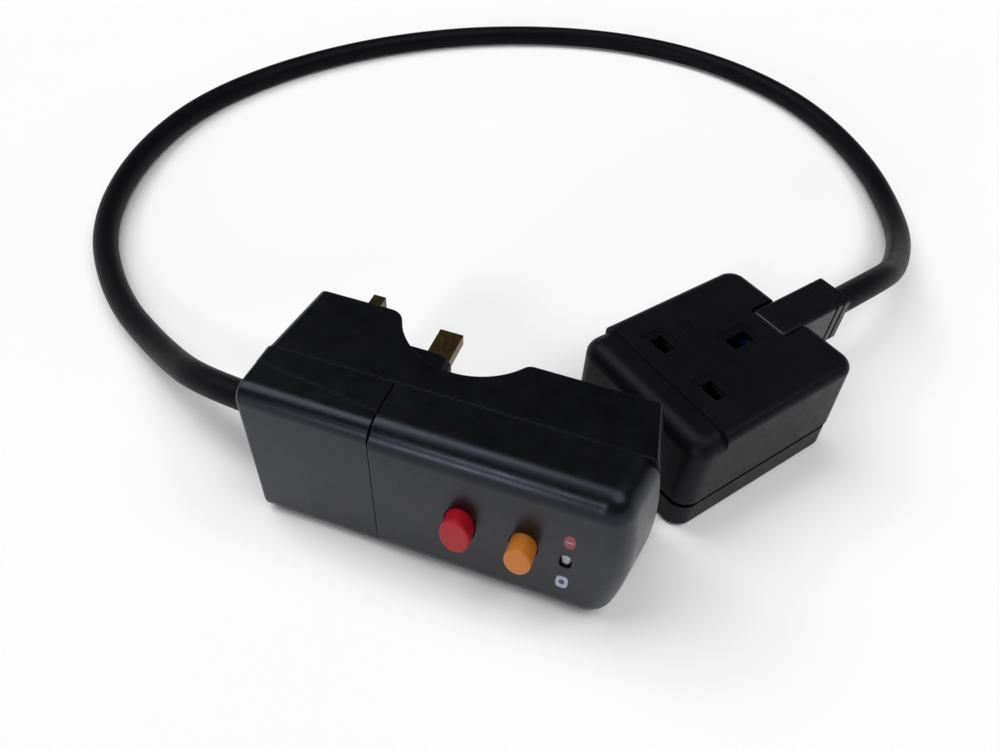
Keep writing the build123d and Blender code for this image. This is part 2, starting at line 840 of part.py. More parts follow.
def switch_frame():
    low = middle - frame_half_height
    high = middle + frame_half_height
    plate = block(frame_x, frame_plate_y, (low, high))
    for x in (frame_x[0], frame_x[1] - frame_leg):
        for z in (low, high - frame_leg):
            plate += block((x, x + frame_leg), (frame_plate_y[0], board_front_y), (z, z + frame_leg))
    for side in (-1, 1):
        z = middle + side * guide_offset
        plate += rod((reset_x, frame_plate_y[0], z), (reset_x, board_front_y, z), guide_radius)
    through = (frame_plate_y[0] - past, frame_plate_y[1] + past)
    for x, radius in ((test_x, test_stem_radius), (reset_x, reset_stem_radius)):
        plate -= rod((x, through[0], middle), (x, through[1], middle), radius + frame_hole_clearance)
    return plate - block((flag_leg_x[0] - gap, flag_leg_x[1] + gap), through,
                         (flag_leg_z[0] - gap, flag_leg_z[1] + flag_travel + gap))


def contact_carriage():
    bar = block(carriage_x, carriage_y, carriage_z)
    bar = fillet(bar.edges().filter_by(Axis.Y), carriage_edge)
    half_x, half_z = carriage_slot_half
    for side in (-1, 1):
        z = middle + side * guide_offset
        bar -= rod((reset_x, carriage_y[0] - past, z), (reset_x, carriage_y[1] + past, z),
                   guide_radius + running)
        x = reset_x + side * stud_spread
        bar -= block((x - half_x, x + half_x), (carriage_y[0] - past, carriage_y[1] - past),
                     (middle - half_z, middle + half_z))
    return bar


def pole_heights():
    """Heights of the line pole and the neutral pole."""
    return [middle - pole_offset, middle + pole_offset]


def moving_contacts():
    bridges = []
    back = carriage_y[1] + bridge_thickness
    for z in pole_heights():
        bridge = block(carriage_x, (carriage_y[1], back), (z - bridge_half_width, z + bridge_half_width))
        for side in (-1, 1):
            x = reset_x + side * stud_spread
            bridge += rod((x, back, z), (x, back + stud_height, z), stud_radius)
        bridges.append(bridge)
    return bridges


def fixed_contacts():
    posts = []
    front = carriage_y[1] + bridge_thickness + stud_height + contact_gap
    for z in pole_heights():
        for side in (-1, 1):
            x = reset_x + side * stud_spread
            half = fixed_half_width
            posts.append(block((x - half, x + half), (front, board_front_y), (z - half, z + half)))
    return posts


def carriage_springs():
    springs = []
    for side in (-1, 1):
        start = (reset_x, carriage_y[1], middle + side * guide_offset)
        springs.append(coil_spring(start, (0, 1, 0), board_front_y - carriage_y[1], carriage_spring_radius))
    return springs


def test_contact():
    span = (middle - test_leaf_half_width, middle + test_leaf_half_width)
    left = test_leaf_x[0]
    leaf = block(test_leaf_x, (test_leaf_y, test_leaf_y + test_leaf_thickness), span)
    leaf += block((left, left + test_leaf_thickness), (test_leaf_y, board_front_y), span)
    stud = rod((test_stud_x, test_stud_y, middle), (test_stud_x, board_front_y, middle), test_stud_radius)
    return [leaf, stud]


def indicator_lens():
    size = (window_size[0] - 2 * lens_clearance, window_size[1] - 2 * lens_clearance)
    body = slot_prism(window_x, window_z, size, (lens_front_y, wall))
    body = fillet(body.faces().sort_by(Axis.Y)[0].edges(), lens_crown)
    flange = (window_size[0] + 2 * lens_flange, window_size[1] + 2 * lens_flange)
    return body + slot_prism(window_x, window_z, flange, (wall, wall + lens_flange_thickness))


def indicator_flag():
    body = block(flag_x, flag_y, flag_z)
    body += block(flag_leg_x, (flag_y[0], flag_foot_y[1]), flag_leg_z)
    return body + block(flag_foot_x, flag_foot_y, flag_leg_z)


def trip_coil():
    body = rod((coil_x[0], coil_y, coil_z), (coil_x[1], coil_y, coil_z), coil_radius)
    return body - rod((coil_x[0] - past, coil_y, coil_z), (coil_x[1] + past, coil_y, coil_z), coil_bore)


def trip_yoke():
    z = (coil_z - yoke_half_width, coil_z + yoke_half_width)
    left = (coil_x[0] - yoke_thickness, coil_x[0])
    right = (coil_x[1], coil_x[1] + yoke_thickness)
    foot_y = (board_front_y - yoke_thickness, board_front_y)
    body = block(left, (yoke_front_y, board_front_y), z)
    body += block(right, (yoke_front_y, board_front_y), z)
    body += block((left[0], right[1]), foot_y, z)
    return body - rod((left[0] - past, coil_y, coil_z), (right[1] + past, coil_y, coil_z), yoke_hole_radius)


def trip_plunger():
    body = rod((plunger_x[0], coil_y, coil_z), (plunger_x[1], coil_y, coil_z), plunger_radius)
    body = chamfer(body.edges().sort_by(Axis.X)[-1:], plunger_edge)
    return body + rod((collar_x[0], coil_y, coil_z), (collar_x[1], coil_y, coil_z), collar_radius)


def plunger_spring():
    start = coil_x[1] + yoke_thickness
    return coil_spring((start, coil_y, coil_z), (1, 0, 0), collar_x[0] - start, plunger_spring_radius)


def ring(inner, outer, y):
    """Ring about the sensor's axis."""
    body = rod((sensor_x, y[0], middle), (sensor_x, y[1], middle), outer)
    return body - rod((sensor_x, y[0] - past, middle), (sensor_x, y[1] + past, middle), inner)


def sensor_core():
    low = board_back_y + core_ring_inset
    high = board_back_y + sensor_depth - core_ring_inset
    return ring(core_ring[0], core_ring[1], (low, high))


def sensor_winding():
    body = ring(sensor_bore, sensor_outer, (board_back_y, board_back_y + sensor_depth)) - sensor_core()
    open_half = math.radians((180 - winding_span) / 2)
    reach = 2 * sensor_outer
    rise = reach * math.tan(open_half)
    for side in (-1, 1):
        wedge = make_face(Polyline((0, 0), (side * reach, rise), (side * reach, -rise), close=True))
        plane = Plane(origin=(sensor_x, board_back_y - past, middle), x_dir=(0, 0, 1), z_dir=(0, 1, 0))
        body -= extrude(plane * wedge, amount=sensor_depth + 2 * past)
    return body.solids()


def sensor_links():
    links = []
    for side in (-1, 1):
        z = middle + side * link_offset
        points = [(link_start_x, board_back_y, z), (link_start_x, link_rear_y, z), (sensor_x, link_rear_y, z),
                  (sensor_x, board_back_y, z)]
        links.append(tube(points, link_bend, link_radius))
    return links


def core_starts(y, z):
    """Where line, neutral and earth leave the sheath, round its own axis: across it, then up."""
    aside = core_spread / 2
    return (y, z - core_spread), (y + core_rise(), z + aside), (y - core_rise(), z + aside)


def core_run(inside, far):
    """One core's two bare ends, at the plug and at the socket."""
    return [at_plug(tube(inside, core_bend, core_radius)), at_socket(tube(far, core_bend, core_radius))]


def core_in_plug(start, way, terminal_z):
    """Route of one core in the plug, from the sheath's end to its terminal."""
    y, z = start
    straight_x, passing = way
    return [(sheath_inside_plug, y, z), (straight_x, y, z), passing, (core_lead_in_x, core_y, terminal_z),
            (core_end_x, core_y, terminal_z)]


def live_core_in_socket(start, side):
    """Route of a live core in the socket, from the gland down and round to its terminal."""
    y, z = start
    aside = side * (pin_spacing / 2 + socket_terminal[1] / 2 + live_core_aside)
    passing_x, passing_y, passing_z = live_core_passing
    return [(sheath_end_socket, y, z), (live_core_straight_x, y, z), (passing_x, side * passing_y, passing_z),
            (live_core_turn_x, aside, socket_hole_z), (live_terminal_x, aside, socket_hole_z),
            (live_terminal_x, side * pin_spacing / 2, socket_hole_z)]


def line_core():
    inside = core_in_plug(core_starts(cover_depth, middle)[0], line_way, terminal_line_z)
    return core_run(inside, live_core_in_socket((gland_y - core_spread, flex_z), -1))


def neutral_core():
    inside = core_in_plug(core_starts(cover_depth, middle)[1], neutral_way, terminal_neutral_z)
    start = (gland_y + core_spread / 2, flex_z + core_rise())
    return core_run(inside, live_core_in_socket(start, 1))


def earth_core():
    inside = core_in_plug(core_starts(cover_depth, middle)[2], earth_way, terminal_earth_z)
    y = gland_y + core_spread / 2
    z = flex_z - core_rise()
    far = [(sheath_end_socket, y, z), (earth_core_straight_x, y, z), earth_core_passing,
           (earth_terminal_x, earth_core_turn_y, socket_hole_z), (earth_terminal_x, gland_y, socket_hole_z)]
    return core_run(inside, far)


def core_rise():
    """Offset of the two upper cores from the sheath's axis."""
    return core_spread * math.sin(math.radians(60))


def rounded_block(x, half, z, radius):
    """Upright block with round corners."""
    body = block(x, (-half, half), z)
    return fillet(body.edges().filter_by(Axis.Z), radius)


def rear_at(z):
    """Where the socket's sloping rear face lies at a height."""
    return socket_rear + (socket_rear_top - socket_rear) * z / socket_height


def casing(inset, half, z, radius):
    """Socket's outline between two heights, drawn in by an inset, with round corners."""
    low, high = z
    front = socket_front + inset
    outline = Polyline((front, -half, low), (rear_at(low) - inset, -half, low),
                       (rear_at(high) - inset, -half, high), (front, -half, high), close=True)
    body = drawn(outline, (0, 2 * half, 0))
    uprights = body.edges().filter_by(lambda e: e.bounding_box().size.Z > (high - low) / 2)
    return fillet(uprights, radius)


def base_groove(half):
    """Groove round the base's upper rim, under the casing's overhang."""
    z = (socket_split - split_groove_height, socket_split + past)
    kept = casing(base_inset + split_groove, half - split_groove, z,
                  socket_corner - base_inset - split_groove)
    return casing(0, socket_half_width, z, socket_corner) - kept


def socket_base():
    half = socket_half_width - base_inset
    body = casing(base_inset, half, (0, socket_split), socket_corner - base_inset)
    body = chamfer(body.faces().sort_by(Axis.Z)[0].edges(), base_edge)
    body -= casing(base_inset + socket_wall, half - socket_wall, (socket_floor, socket_split + past),
                   socket_inner_corner)
    body -= base_groove(half)
    for x, y in socket_screws:
        body += rod((x, y, root), (x, y, socket_split), socket_boss_radius)
        body -= rod((x, y, -past), (x, y, socket_split + past), screw_hole_radius)
        body -= rod((x, y, -past), (x, y, counterbore_depth), counterbore_radius)
    terminal_half = (terminal_rest_half, terminal_rest_half)
    rests = [(pin_spacing, 0, earth_rest_half), (earth_terminal_x, 0, terminal_half)]
    for y in (-pin_spacing / 2, pin_spacing / 2):
        rests.append((0, y, (live_rest_half, live_rest_half)))
        rests.append((live_terminal_x, y, terminal_half))
    for x, y, (half_x, half_y) in rests:
        body += block((x - half_x, x + half_x), (y - half_y, y + half_y), (rest_bottom_z, clip_bottom_z))
    return body


def shell_outer():
    """Socket's upper casing: a raised panel with a lower nose at its free end."""
    panel = casing(0, socket_half_width, (socket_split, socket_height), socket_corner)
    panel = fillet(panel.faces().sort_by(Axis.Z)[-1].edges(), socket_top_edge)
    panel = panel & block((nose_end, socket_rear + past), (-beyond, beyond), (0, socket_height))
    nose_top = socket_height - nose_drop
    nose = casing(0, socket_half_width, (socket_split, nose_top), socket_corner)
    nose = fillet(nose.faces().sort_by(Axis.Z)[-1].edges(), nose_radius)
    nose = nose & block((socket_front - past, nose_end), (-beyond, beyond), (0, socket_height))
    return panel + nose


def slot_places():
    """Centre and size of each slot: line, neutral and earth."""
    aside = pin_spacing / 2
    return [((0, -aside), live_slot), ((0, aside), live_slot), ((pin_spacing, 0), earth_slot)]


def shell_rails(roof):
    """Rails that carry the shutter's ends under the roof, and the rib behind its spring."""
    rails = []
    low = shutter_z[0] - rail_gap - rail_lip_height
    for side in (-1, 1):
        inner = side * (shutter_half_width + rail_gap)
        outer = inner + side * rail_width
        lip = inner - side * rail_lip
        side_wall = (min(inner, outer), max(inner, outer))
        lips = (min(lip, outer), max(lip, outer))
        rails.append(block(rail_x, side_wall, (low, roof + root)))
        rails.append(block(rail_x, lips, (low, shutter_z[0] - rail_gap)))
        rails.append(block(rail_x, lips, (shutter_z[1] + rail_gap, roof + root)))
    rails.append(block(spring_rib_x, (-spring_rib_half, spring_rib_half),
                       (shutter_z[0] - spring_rib_drop, roof - nose_drop + root)))
    return rails


def shell_marks():
    """Cuts in the face: slots, the rounded step round each and the shallow strip."""
    cuts = []
    for (x, y), size in slot_places():
        half = (size[0] / 2, size[1] / 2)
        cuts.append(block((x - half[0], x + half[0]), (y - half[1], y + half[1]),
                          (shutter_z[1] + rail_gap, socket_height + past)))
        wide = (half[0] + slot_frame, half[1] + slot_frame)
        step = block((x - wide[0], x + wide[0]), (y - wide[1], y + wide[1]),
                     (socket_height - slot_frame_depth, socket_height + past))
        cuts.append(fillet(step.edges().filter_by(Axis.Z), slot_frame_corner))
    cuts.append(rounded_block(strip_x, strip_half_width, (socket_height - strip_depth, socket_height + past),
                              strip_corner))
    return cuts


def gland_pocket():
    """Space for the gland: a close seat with a wider mouth at the face."""
    half = gland_half_width + fit
    seat = block((gland_inner, socket_rear + past), (gland_y - half, gland_y + half),
                 (gland_bottom - fit, socket_height + past))
    half = gland_half_width + pocket_mouth
    mouth = block((gland_inner - pocket_mouth, socket_rear + past), (gland_y - half, gland_y + half),
                  (socket_height - pocket_mouth_depth, socket_height + past))
    inner = mouth.edges().filter_by(Axis.Z).group_by(Axis.X)[0]
    return seat + fillet(inner, pocket_mouth + gland_edge)


def socket_shell():
    body = shell_outer()
    roof = socket_height - socket_top
    inner_half = socket_half_width - socket_wall
    inside = casing(socket_wall, inner_half, (socket_split - past, roof), socket_inner_corner)
    body -= inside & block((nose_end, socket_rear), (-beyond, beyond), (0, socket_height))
    lower = casing(socket_wall, inner_half, (socket_split - past, roof - nose_drop), socket_inner_corner)
    body -= lower & block((socket_front, nose_end + fit), (-beyond, beyond), (0, socket_height))
    for x, y in socket_screws:
        body += rod((x, y, socket_split), (x, y, roof + root), cover_boss_radius)
        body -= rod((x, y, socket_split - past), (x, y, socket_split + screw_bite), screw_radius)
    pocket_half = gland_half_width + pocket_wall
    pocket = block((gland_inner - pocket_wall, rear_at(gland_bottom) - socket_wall + root),
                   (gland_y - pocket_half, gland_y + pocket_half), (gland_bottom - pocket_wall, roof + root))
    body += pocket & casing(root, socket_half_width - root, (socket_split, socket_height),
                            socket_inner_corner)
    body -= gland_pocket()
    body -= rod((gland_inner - pocket_wall - past, gland_y, flex_z), (gland_inner + past, gland_y, flex_z),
                flex_radius)
    for rail in shell_rails(roof):
        body += rail
    for cut in shell_marks():
        body -= cut
    return body


def spring_clip(x, y, half, top, along_x):
    """Pair of upright spring leaves on a bottom strip, gripping a pin between them."""
    near = clip_half_gap
    far = clip_half_gap + clip_plate
    body = None
    for side in (-1, 1):
        span = (min(side * near, side * far), max(side * near, side * far))
        if along_x:
            leaf = block((x + span[0], x + span[1]), (y - half, y + half), (clip_bottom_z, top))
        else:
            leaf = block((x - half, x + half), (y + span[0], y + span[1]), (clip_bottom_z, top))
        body = leaf if body is None else body + leaf
    return body


def terminal_block(x, y):
    """Brass terminal with its wire hole across the socket and its screw from above."""
    half = (socket_terminal[0] / 2, socket_terminal[1] / 2)
    top = clip_bottom_z + socket_terminal[2]
    return block((x - half[0], x + half[0]), (y - half[1], y + half[1]), (clip_bottom_z, top))


def drill_terminal(body, x, y, side):
    """Wire hole from one side and screw hole from above."""
    reach = socket_terminal[1] / 2
    top = clip_bottom_z + socket_terminal[2]
    body -= rod((x, y + side * (reach + past), socket_hole_z),
                (x, y - side * terminal_hole_end, socket_hole_z), terminal_hole_radius)
    return body - rod((x, y, socket_hole_z), (x, y, top + past), terminal_screw_radius)


def live_contact(y):
    side = 1 if y > 0 else -1
    body = spring_clip(0, y, live_clip_half, live_clip_top, True)
    reach = clip_half_gap + clip_plate
    body += block((live_terminal_x, reach), (y - live_clip_half, y + live_clip_half),
                  (clip_bottom_z, clip_bottom_z + clip_plate))
    body += terminal_block(live_terminal_x, y)
    return drill_terminal(body, live_terminal_x, y, side)


def socket_line_contact():
    return live_contact(-pin_spacing / 2)


def socket_neutral_contact():
    return live_contact(pin_spacing / 2)


def socket_earth_contact():
    body = spring_clip(pin_spacing, 0, earth_clip_half, earth_clip_top, False)
    half = clip_half_gap + clip_plate
    body += block((pin_spacing - earth_clip_half, earth_terminal_x), (-half, half),
                  (clip_bottom_z, clip_bottom_z + clip_plate))
    body += terminal_block(earth_terminal_x, 0)
    return drill_terminal(body, earth_terminal_x, 0, 1)


def socket_terminal_screws():
    screws = []
    seat = clip_bottom_z + socket_terminal[2]
    high = seat + terminal_head_height
    tip = socket_hole_z + terminal_hole_radius + tip_clearance
    reach = terminal_head_radius + past
    aside = pin_spacing / 2
    for x, y in [(live_terminal_x, -aside), (live_terminal_x, aside), (earth_terminal_x, 0)]:
        screw = rod((x, y, tip), (x, y, seat), terminal_screw_radius)
        screw += rod((x, y, seat), (x, y, high), terminal_head_radius)
        screw -= block((x - reach, x + reach), (y - slot_width / 2, y + slot_width / 2),
                       (high - slot_depth, high + past))
        screws.append(screw)
    return screws


def socket_case_screws():
    screws = []
    seat = counterbore_depth
    low = seat - screw_head_height
    for x, y in socket_screws:
        screw = rod((x, y, low), (x, y, seat), screw_head_radius)
        screw += rod((x, y, seat), (x, y, socket_split + screw_bite - past), screw_radius)
        for half_x, half_y in ((cross_length / 2, cross_width / 2), (cross_width / 2, cross_length / 2)):
            screw -= block((x - half_x, x + half_x), (y - half_y, y + half_y),
                           (low - past, low + cross_depth))
        screws.append(screw)
    return screws


def shutter():
    body = block(shutter_x, (-shutter_half_width, shutter_half_width), shutter_z)
    arm = block((0, shutter_nose), (-shutter_arm_half, shutter_arm_half), shutter_z)
    height = shutter_z[1] - shutter_ramp[0]
    ramp = Polyline((shutter_nose, 0, height), (shutter_nose, 0, shutter_z[1]),
                    (shutter_nose - shutter_ramp[1], 0, shutter_z[1]), close=True)
    wedge = Pos(0, -shutter_arm_half, 0) * drawn(ramp, (0, 2 * shutter_arm_half, 0))
    return body + (arm - wedge)


def shutter_spring():
    start = spring_rib_x[1]
    height = (shutter_z[0] + shutter_z[1]) / 2
    return coil_spring((start, 0, height), (1, 0, 0), shutter_x[0] - start, shutter_spring_radius)


def gland_sleeve():
    low = gland_y - gland_half_width
    high = gland_y + gland_half_width
    body = block((gland_inner + fit, gland_outer), (low, high), (gland_bottom, socket_height))
    inner_end = body.edges().group_by(Axis.X)[0]
    body = fillet(body.edges().filter_by(Axis.X) + inner_end, gland_edge)
    depth = gland_groove_depth
    for x in gland_groove_places:
        span = (x, x + gland_groove_width)
        around = block(span, (low - past, high + past), (gland_bottom - past, socket_height + past))
        kept = block(span, (low + depth, high - depth), (gland_bottom + depth, socket_height - depth))
        body -= around - kept
    return body - rod((gland_inner - past, gland_y, flex_z), (gland_outer + past, gland_y, flex_z),
                      flex_radius)


def plug_point(x, y, z):
    """Point of the plug's own axes in the lead's axes."""
    cosine = math.cos(math.radians(plug_turn))
    sine = math.sin(math.radians(plug_turn))
    return (plug_x + x * cosine - y * sine, plug_y + x * sine + y * cosine, z)


def socket_point(x, y, z):
    """Point of the socket's own axes in the lead's axes."""
    return (socket_x + x, socket_y + y, z)


def flex_points():
    """Route of the flex from inside the plug, round its loop, to inside the gland."""
    start = plug_point(sheath_inside_plug, cover_depth, middle)
    first = plug_point(-sheath_plug_run, cover_depth, middle)
    last = socket_point(sheath_end_socket + sheath_socket_run, gland_y, flex_z)
    end = socket_point(sheath_end_socket, gland_y, flex_z)
    return [start, first] + route + [last, end]


def flex_bends(points):
    """Arc at each corner: a share of the shorter run over the tangent of half the turn."""
    bends = []
    for before, corner, after in zip(points, points[1:], points[2:]):
        incoming = Vector(corner) - Vector(before)
        outgoing = Vector(after) - Vector(corner)
        turn = math.radians(incoming.get_angle(outgoing))
        bends.append(bend_share * min(incoming.length, outgoing.length) / math.tan(turn / 2))
    return bends


def mains_cable():
    points = flex_points()
    bends = flex_bends(points)
    path = FilletPolyline(*points, radius=bends)
    cable = sweep(Plane(origin=path @ 0, z_dir=path % 0) * Circle(flex_radius), path=path)
    print("flex radii", [round(bend, 1) for bend in bends])
    print("flex length", round(path.length, 1), "volume ratio",
          round(cable.volume / (path.length * math.pi * flex_radius ** 2), 5))
    return cable


def at_plug(shape):
    return Pos(plug_x, plug_y, 0) * Rot(0, 0, plug_turn) * shape


def at_socket(shape):
    return Pos(socket_x, socket_y, 0) * shape


def write(name, shape, place):
    """Write one named piece, or a group of like pieces, where it lies."""
    shapes = shape if isinstance(shape, (list, ShapeList)) else [shape]
    solids = [solid for item in shapes for solid in place(item).solids()]
    export_step(Compound(children=solids), os.path.join("parts", name + ".step"))


def as_is(shape):
    return shape


in_plug = [plug_base, wiring_cover, rcd_cover, line_pin, neutral_pin, earth_pin, pin_sleeves,
           wiring_cover_screw, rcd_cover_screws, plug_cord_grip, plug_grip_screws, circuit_board,
           board_screws, board_components, test_resistor, fuse_body, fuse_caps, fuse_clips,
           neutral_strap, plug_terminals, plug_terminal_screws, test_button, reset_button,
           test_spring, reset_spring, switch_frame, contact_carriage, moving_contacts,
           fixed_contacts, carriage_springs, test_contact, indicator_lens, indicator_flag,
           trip_coil, trip_yoke, trip_plunger, plunger_spring, sensor_core, sensor_winding,
           sensor_links]
in_socket = [socket_base, socket_shell, socket_line_contact, socket_neutral_contact,
             socket_earth_contact, socket_terminal_screws, socket_case_screws, shutter,
             shutter_spring, gland_sleeve]
in_place = [line_core, neutral_core, earth_core, mains_cable]

os.makedirs("parts", exist_ok=True)
for make in in_plug:
    write(make.__name__, make(), at_plug)
for make in in_socket:
    write(make.__name__, make(), at_socket)
for make in in_place:
    write(make.__name__, make(), as_is)
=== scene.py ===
import bmesh
import bpy
import json
import math
from mathutils import Euler, Matrix, Vector


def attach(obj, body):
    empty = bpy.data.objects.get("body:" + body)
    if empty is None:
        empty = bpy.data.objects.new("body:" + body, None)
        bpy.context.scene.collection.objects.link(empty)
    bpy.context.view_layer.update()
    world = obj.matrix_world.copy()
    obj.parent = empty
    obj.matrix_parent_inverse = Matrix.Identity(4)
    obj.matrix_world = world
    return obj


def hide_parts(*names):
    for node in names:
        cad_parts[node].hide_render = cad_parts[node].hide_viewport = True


# RCD extension lead: finish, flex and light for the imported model. Metres throughout,
# but for points on the plug's and the socket's own axes, which are in millimetres as in the CAD.

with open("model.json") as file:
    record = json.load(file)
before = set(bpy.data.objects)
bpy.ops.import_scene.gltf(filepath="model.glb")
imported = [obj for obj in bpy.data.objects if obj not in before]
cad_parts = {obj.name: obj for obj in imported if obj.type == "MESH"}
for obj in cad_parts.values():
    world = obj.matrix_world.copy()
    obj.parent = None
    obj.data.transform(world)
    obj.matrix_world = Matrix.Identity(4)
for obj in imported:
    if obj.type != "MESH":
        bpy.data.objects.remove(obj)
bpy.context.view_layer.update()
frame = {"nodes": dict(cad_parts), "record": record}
nodes = frame["nodes"]
scene = bpy.context.scene

# Where the plug's own axes lie, and the socket's, as in the CAD
plug_turn = math.radians(-53.2)
plug_place = (-0.09457, 0.02874, 0)
socket_place = (0.02597, -0.01821, 0)
plug_frame = Matrix.Translation(plug_place) @ Matrix.Rotation(plug_turn, 4, "Z")
socket_frame = Matrix.Translation(socket_place)
millimetre = 0.001


def on_plug(x, y, z):
    """Point of the plug's own axes, in millimetres, as a row point in metres."""
    return plug_frame @ (Vector((x, y, z)) * millimetre)


def on_socket(x, y, z):
    """Point of the socket's own axes, in millimetres, as a row point in metres."""
    return socket_frame @ (Vector((x, y, z)) * millimetre)


# Camera, fitted to the pins, the slots and the casings' straight edges
camera_sensor = 36.0
camera_lens = 28.79
camera_place = (-0.11890, -0.11953, 0.20979)
camera_turn = math.radians(-36.65)
camera_tilt = math.radians(43.07)
camera_roll = math.radians(3.73)


def add_camera():
    """Camera at the photograph's angle: looks down steeply, with a slight roll."""
    data = bpy.data.cameras.new("camera")
    data.sensor_width = camera_sensor
    data.lens = camera_lens
    camera = bpy.data.objects.new("camera", data)
    scene.collection.objects.link(camera)
    turn = Matrix.Rotation(camera_turn, 4, "Z")
    tilt = Matrix.Rotation(camera_tilt, 4, "X")
    roll = Matrix.Rotation(camera_roll, 4, "Z")
    camera.matrix_world = Matrix.Translation(camera_place) @ turn @ tilt @ roll
    scene.camera = camera


# Flex: its route from inside the cord grip to inside the gland, one loop on the floor
flex_diameter = 0.0094
flex_floor = 0.0049
flex_steps = 24
flex_rounding = 12
flex_route = [
    on_plug(12.0, 18.2, 27.25),
    on_plug(-24.0, 18.2, 27.25),
    (-0.1001, 0.0995, 0.0100),
    (-0.1052, 0.1432, flex_floor),
    (-0.0973, 0.1898, flex_floor),
    (-0.0692, 0.2333, flex_floor),
    (-0.0282, 0.2653, flex_floor),
    (0.0260, 0.2796, flex_floor),
    (0.0852, 0.2789, flex_floor),
    (0.1447, 0.2614, flex_floor),
    (0.1989, 0.2258, flex_floor),
    (0.2331, 0.1772, flex_floor),
    (0.2433, 0.1193, flex_floor),
    (0.2267, 0.0617, flex_floor),
    (0.1928, 0.0152, 0.0065),
    (0.1522, -0.0090, 0.0180),
    on_socket(93.0, 0.5, 30.9),
    on_socket(40.0, 0.5, 30.9),
]


def spline_length(obj):
    """Length of a curve's own line."""
    kept = obj.data.bevel_depth
    obj.data.bevel_depth = 0.0
    line = bpy.data.meshes.new_from_object(obj)
    obj.data.bevel_depth = kept
    points = [vertex.co for vertex in line.vertices]
    length = sum((after - before).length for before, after in zip(points, points[1:]))
    bpy.data.meshes.remove(line)
    return length


def add_flex(material):
    """Flex as one smooth spline round its loop."""
    curve = bpy.data.curves.new("flex", "CURVE")
    curve.dimensions = "3D"
    spline = curve.splines.new("NURBS")
    spline.points.add(len(flex_route) - 1)
    for point, place in zip(spline.points, flex_route):
        point.co = (*place, 1.0)
        point.radius = flex_diameter / 2
    spline.order_u = 3
    spline.use_endpoint_u = True
    spline.resolution_u = flex_steps
    curve.bevel_depth = 1.0
    curve.bevel_resolution = flex_rounding
    curve.use_fill_caps = True
    curve.materials.append(material)
    flex = bpy.data.objects.new("flex", curve)
    scene.collection.objects.link(flex)
    bpy.context.view_layer.update()
    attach(flex, "housing")
    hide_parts("mains_cable")
    spline_length(flex)


# Materials: the part of a noise's range that is stretched to a whole change of shade or polish
noise_low = 0.3
noise_high = 0.7
patch_low = 0.35


def new_material(name):
    """Empty node material with its principled shader and output."""
    material = bpy.data.materials.new(name)
    material.use_nodes = True
    tree = material.node_tree
    tree.nodes.clear()
    output = tree.nodes.new("ShaderNodeOutputMaterial")
    shader = tree.nodes.new("ShaderNodeBsdfPrincipled")
    tree.links.new(shader.outputs["BSDF"], output.inputs["Surface"])
    return material, tree, shader


def noise(tree, scale, detail=3.0, roughness=0.5, stretch=(1, 1, 1)):
    """Noise over the object's own coordinates, in metres."""
    place = tree.nodes.new("ShaderNodeTexCoord")
    mapping = tree.nodes.new("ShaderNodeMapping")
    mapping.inputs["Scale"].default_value = stretch
    texture = tree.nodes.new("ShaderNodeTexNoise")
    texture.inputs["Scale"].default_value = scale
    texture.inputs["Detail"].default_value = detail
    texture.inputs["Roughness"].default_value = roughness
    tree.links.new(place.outputs["Object"], mapping.inputs["Vector"])
    tree.links.new(mapping.outputs["Vector"], texture.inputs["Vector"])
    return texture.outputs["Fac"]


def ramp(tree, value, start, end, low=noise_low, high=noise_high):
    """Linear map of a value from low..high to start..end."""
    node = tree.nodes.new("ShaderNodeMapRange")
    node.inputs["From Min"].default_value = low
    node.inputs["From Max"].default_value = high
    node.inputs["To Min"].default_value = start
    node.inputs["To Max"].default_value = end
    tree.links.new(value, node.inputs["Value"])
    return node.outputs["Result"]


def blend_colour(tree, factor, dark, light):
    """Mix of two colours by a factor."""
    node = tree.nodes.new("ShaderNodeMix")
    node.data_type = "RGBA"
    node.inputs["A"].default_value = (*dark, 1)
    node.inputs["B"].default_value = (*light, 1)
    tree.links.new(factor, node.inputs["Factor"])
    return node.outputs["Result"]


def bump(tree, height, strength, distance, under=None):
    """Bump from a height, over another bump if there is one."""
    node = tree.nodes.new("ShaderNodeBump")
    node.inputs["Strength"].default_value = strength
    node.inputs["Distance"].default_value = distance
    tree.links.new(height, node.inputs["Height"])
    if under is not None:
        tree.links.new(under, node.inputs["Normal"])
    return node.outputs["Normal"]


def soft_edges(tree, radius):
    """Normal that rounds off a solid's sharp edges."""
    node = tree.nodes.new("ShaderNodeBevel")
    node.samples = 4
    node.inputs["Radius"].default_value = radius
    return node.outputs["Normal"]


def moulded(name, dark, light, rough, grain_scale=2600, grain=0.25, gloss=0.5, tint=(1, 1, 1), edge=0.0002):
    """Moulded plastic: fine spark-eroded grain, soft shade changes, uneven polish and softened edges."""
    material, tree, shader = new_material(name)
    shade = ramp(tree, noise(tree, 60, 4), 0, 1)
    tree.links.new(blend_colour(tree, shade, dark, light), shader.inputs["Base Color"])
    polish = ramp(tree, noise(tree, 180, 5, 0.6), rough - 0.04, rough + 0.05)
    tree.links.new(polish, shader.inputs["Roughness"])
    waves = bump(tree, noise(tree, 70, 2), 0.1, 0.0004, soft_edges(tree, edge))
    skin = bump(tree, noise(tree, grain_scale, 3, 0.6), grain, 0.00006, waves)
    tree.links.new(skin, shader.inputs["Normal"])
    shader.inputs["Specular IOR Level"].default_value = gloss
    shader.inputs["Specular Tint"].default_value = (*tint, 1)
    return material


